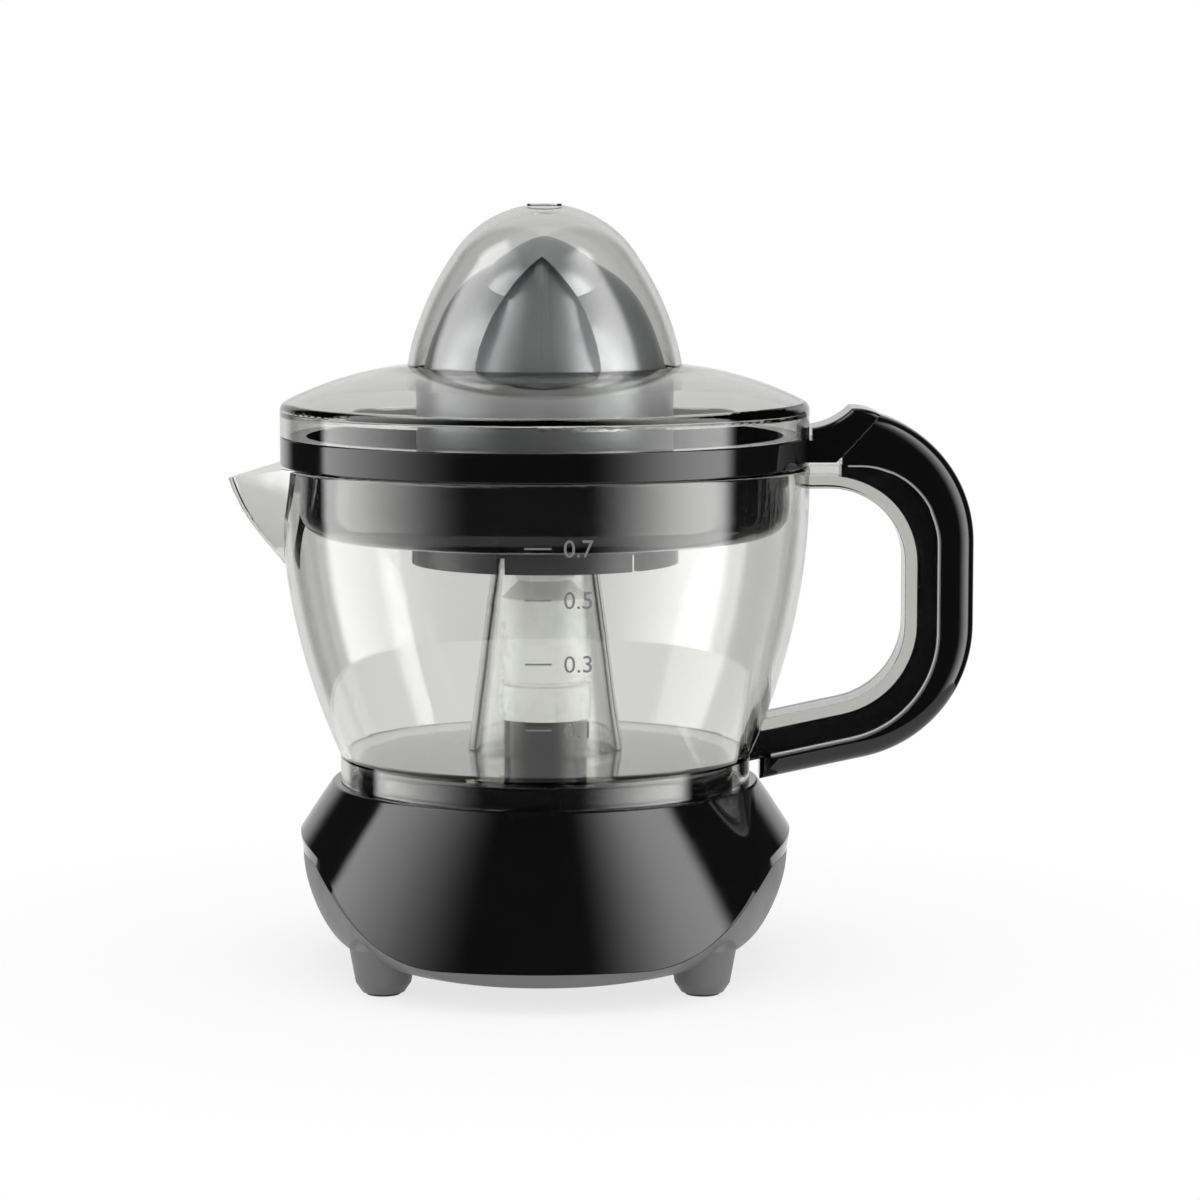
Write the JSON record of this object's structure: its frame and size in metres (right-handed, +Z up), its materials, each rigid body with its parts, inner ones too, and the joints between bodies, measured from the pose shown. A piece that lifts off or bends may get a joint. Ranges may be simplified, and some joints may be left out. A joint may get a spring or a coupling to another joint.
{
  "type": "citrus press juicer",
  "caption": "Electric citrus press with a black motor base, clear handled jug, black strainer, lobed reamer and smoky domed lid.",
  "frame": {"origin": "on the table, under the spindle axis", "axes": "+Z up along the spindle; +X to the handle; the spout points to -X and the front faces -Y"},
  "size_m": [0.203, 0.1614, 0.206],
  "materials": {
    "black_gloss": "gloss black moulded plastic",
    "grey_satin": "satin mid grey moulded plastic",
    "foot_rubber": "black rubber",
    "gland_rubber": "black rubber",
    "steel": "bright steel",
    "dark_plastic": "dark moulded plastic",
    "gear_nylon": "natural nylon",
    "core_iron": "stacked iron sheet",
    "copper": "enamelled copper wire",
    "bush_brass": "sintered bronze",
    "white_plastic": "white moulded plastic",
    "clear_jug": "clear moulded plastic",
    "silver_plastic": "silver grey moulded plastic",
    "smoke_lid": "smoky clear moulded plastic"
  },
  "bodies": {
    "base": {"upper_housing": "black_gloss", "lower_housing": "grey_satin", "rubber_feet": "foot_rubber", "housing_screws": "steel", "cord_gland": "gland_rubber", "gear_plate": "dark_plastic", "plate_screws": "steel", "idler_pin": "steel", "motor_core": "core_iron", "motor_coils": "copper", "motor_bracket": "steel", "motor_screws": "steel", "spindle_bush": "bush_brass", "lower_bush": "bush_brass", "spindle_seal": "gland_rubber", "return_spring": "steel", "switch_body": "dark_plastic"},
    "thrust_cup": {"thrust_cup": "gear_nylon"},
    "spindle": {"drive_spindle": "white_plastic", "spindle_axle": "steel", "output_gear": "gear_nylon"},
    "idler": {"idler_gear": "gear_nylon"},
    "rotor": {"motor_rotor": "core_iron", "motor_shaft": "steel", "motor_pinion": "bush_brass"},
    "switch_button": {"switch_plunger": "gear_nylon"},
    "jug": {"jug": "clear_jug", "handle_cover": "black_gloss"},
    "strainer": {"strainer": "black_gloss"},
    "pulp_ring": {"pulp_ring": "dark_plastic"},
    "reamer": {"reamer": "silver_plastic"},
    "lid": {"lid": "smoke_lid"}
  },
  "joints": [
    {"name": "jug_lift", "type": "slide", "parent": "base", "child": "jug", "axis": [0, 0, 1], "range_m": [0, 0.12]},
    {"name": "strainer_lift", "type": "slide", "parent": "jug", "child": "strainer", "axis": [0, 0, 1], "range_m": [0, 0.06]},
    {"name": "lid_lift", "type": "slide", "parent": "strainer", "child": "lid", "axis": [0, 0, 1], "range_m": [0, 0.08]},
    {"name": "pulp_ring_turn", "type": "hinge", "parent": "strainer", "child": "pulp_ring", "pos_m": [0, 0, 0.112], "axis": [0, 0, 1], "range_deg": [0, 15]},
    {"name": "spindle_press", "type": "slide", "parent": "base", "child": "thrust_cup", "axis": [0, 0, -1], "range_m": [0, 0.0015], "stiffness_N_per_m": 1500, "springref_m": -0.002, "deforming": ["return_spring"]},
    {"name": "spindle_spin", "type": "hinge", "parent": "thrust_cup", "child": "spindle", "pos_m": [0, 0, 0.05], "axis": [0, 0, 1], "continuous": true},
    {"name": "idler_spin", "type": "hinge", "parent": "base", "child": "idler", "pos_m": [0.01215, 0.02411, 0.035], "axis": [0, 0, 1], "continuous": true},
    {"name": "rotor_spin", "type": "hinge", "parent": "base", "child": "rotor", "pos_m": [0, 0.04, 0.02], "axis": [0, 0, 1], "continuous": true},
    {"name": "reamer_spin", "type": "hinge", "parent": "strainer", "child": "reamer", "pos_m": [0, 0, 0.15], "axis": [0, 0, 1], "continuous": true},
    {"name": "switch_press", "type": "slide", "parent": "base", "child": "switch_button", "axis": [0, 0, -1], "range_m": [0, 0.0015]}
  ],
  "couplings": [
    {"joint": "idler_spin", "follows": "spindle_spin", "ratio": -3.5},
    {"joint": "rotor_spin", "follows": "spindle_spin", "ratio": 14},
    {"joint": "reamer_spin", "follows": "spindle_spin", "ratio": 1},
    {"joint": "switch_press", "follows": "spindle_press", "ratio": 1}
  ]
}
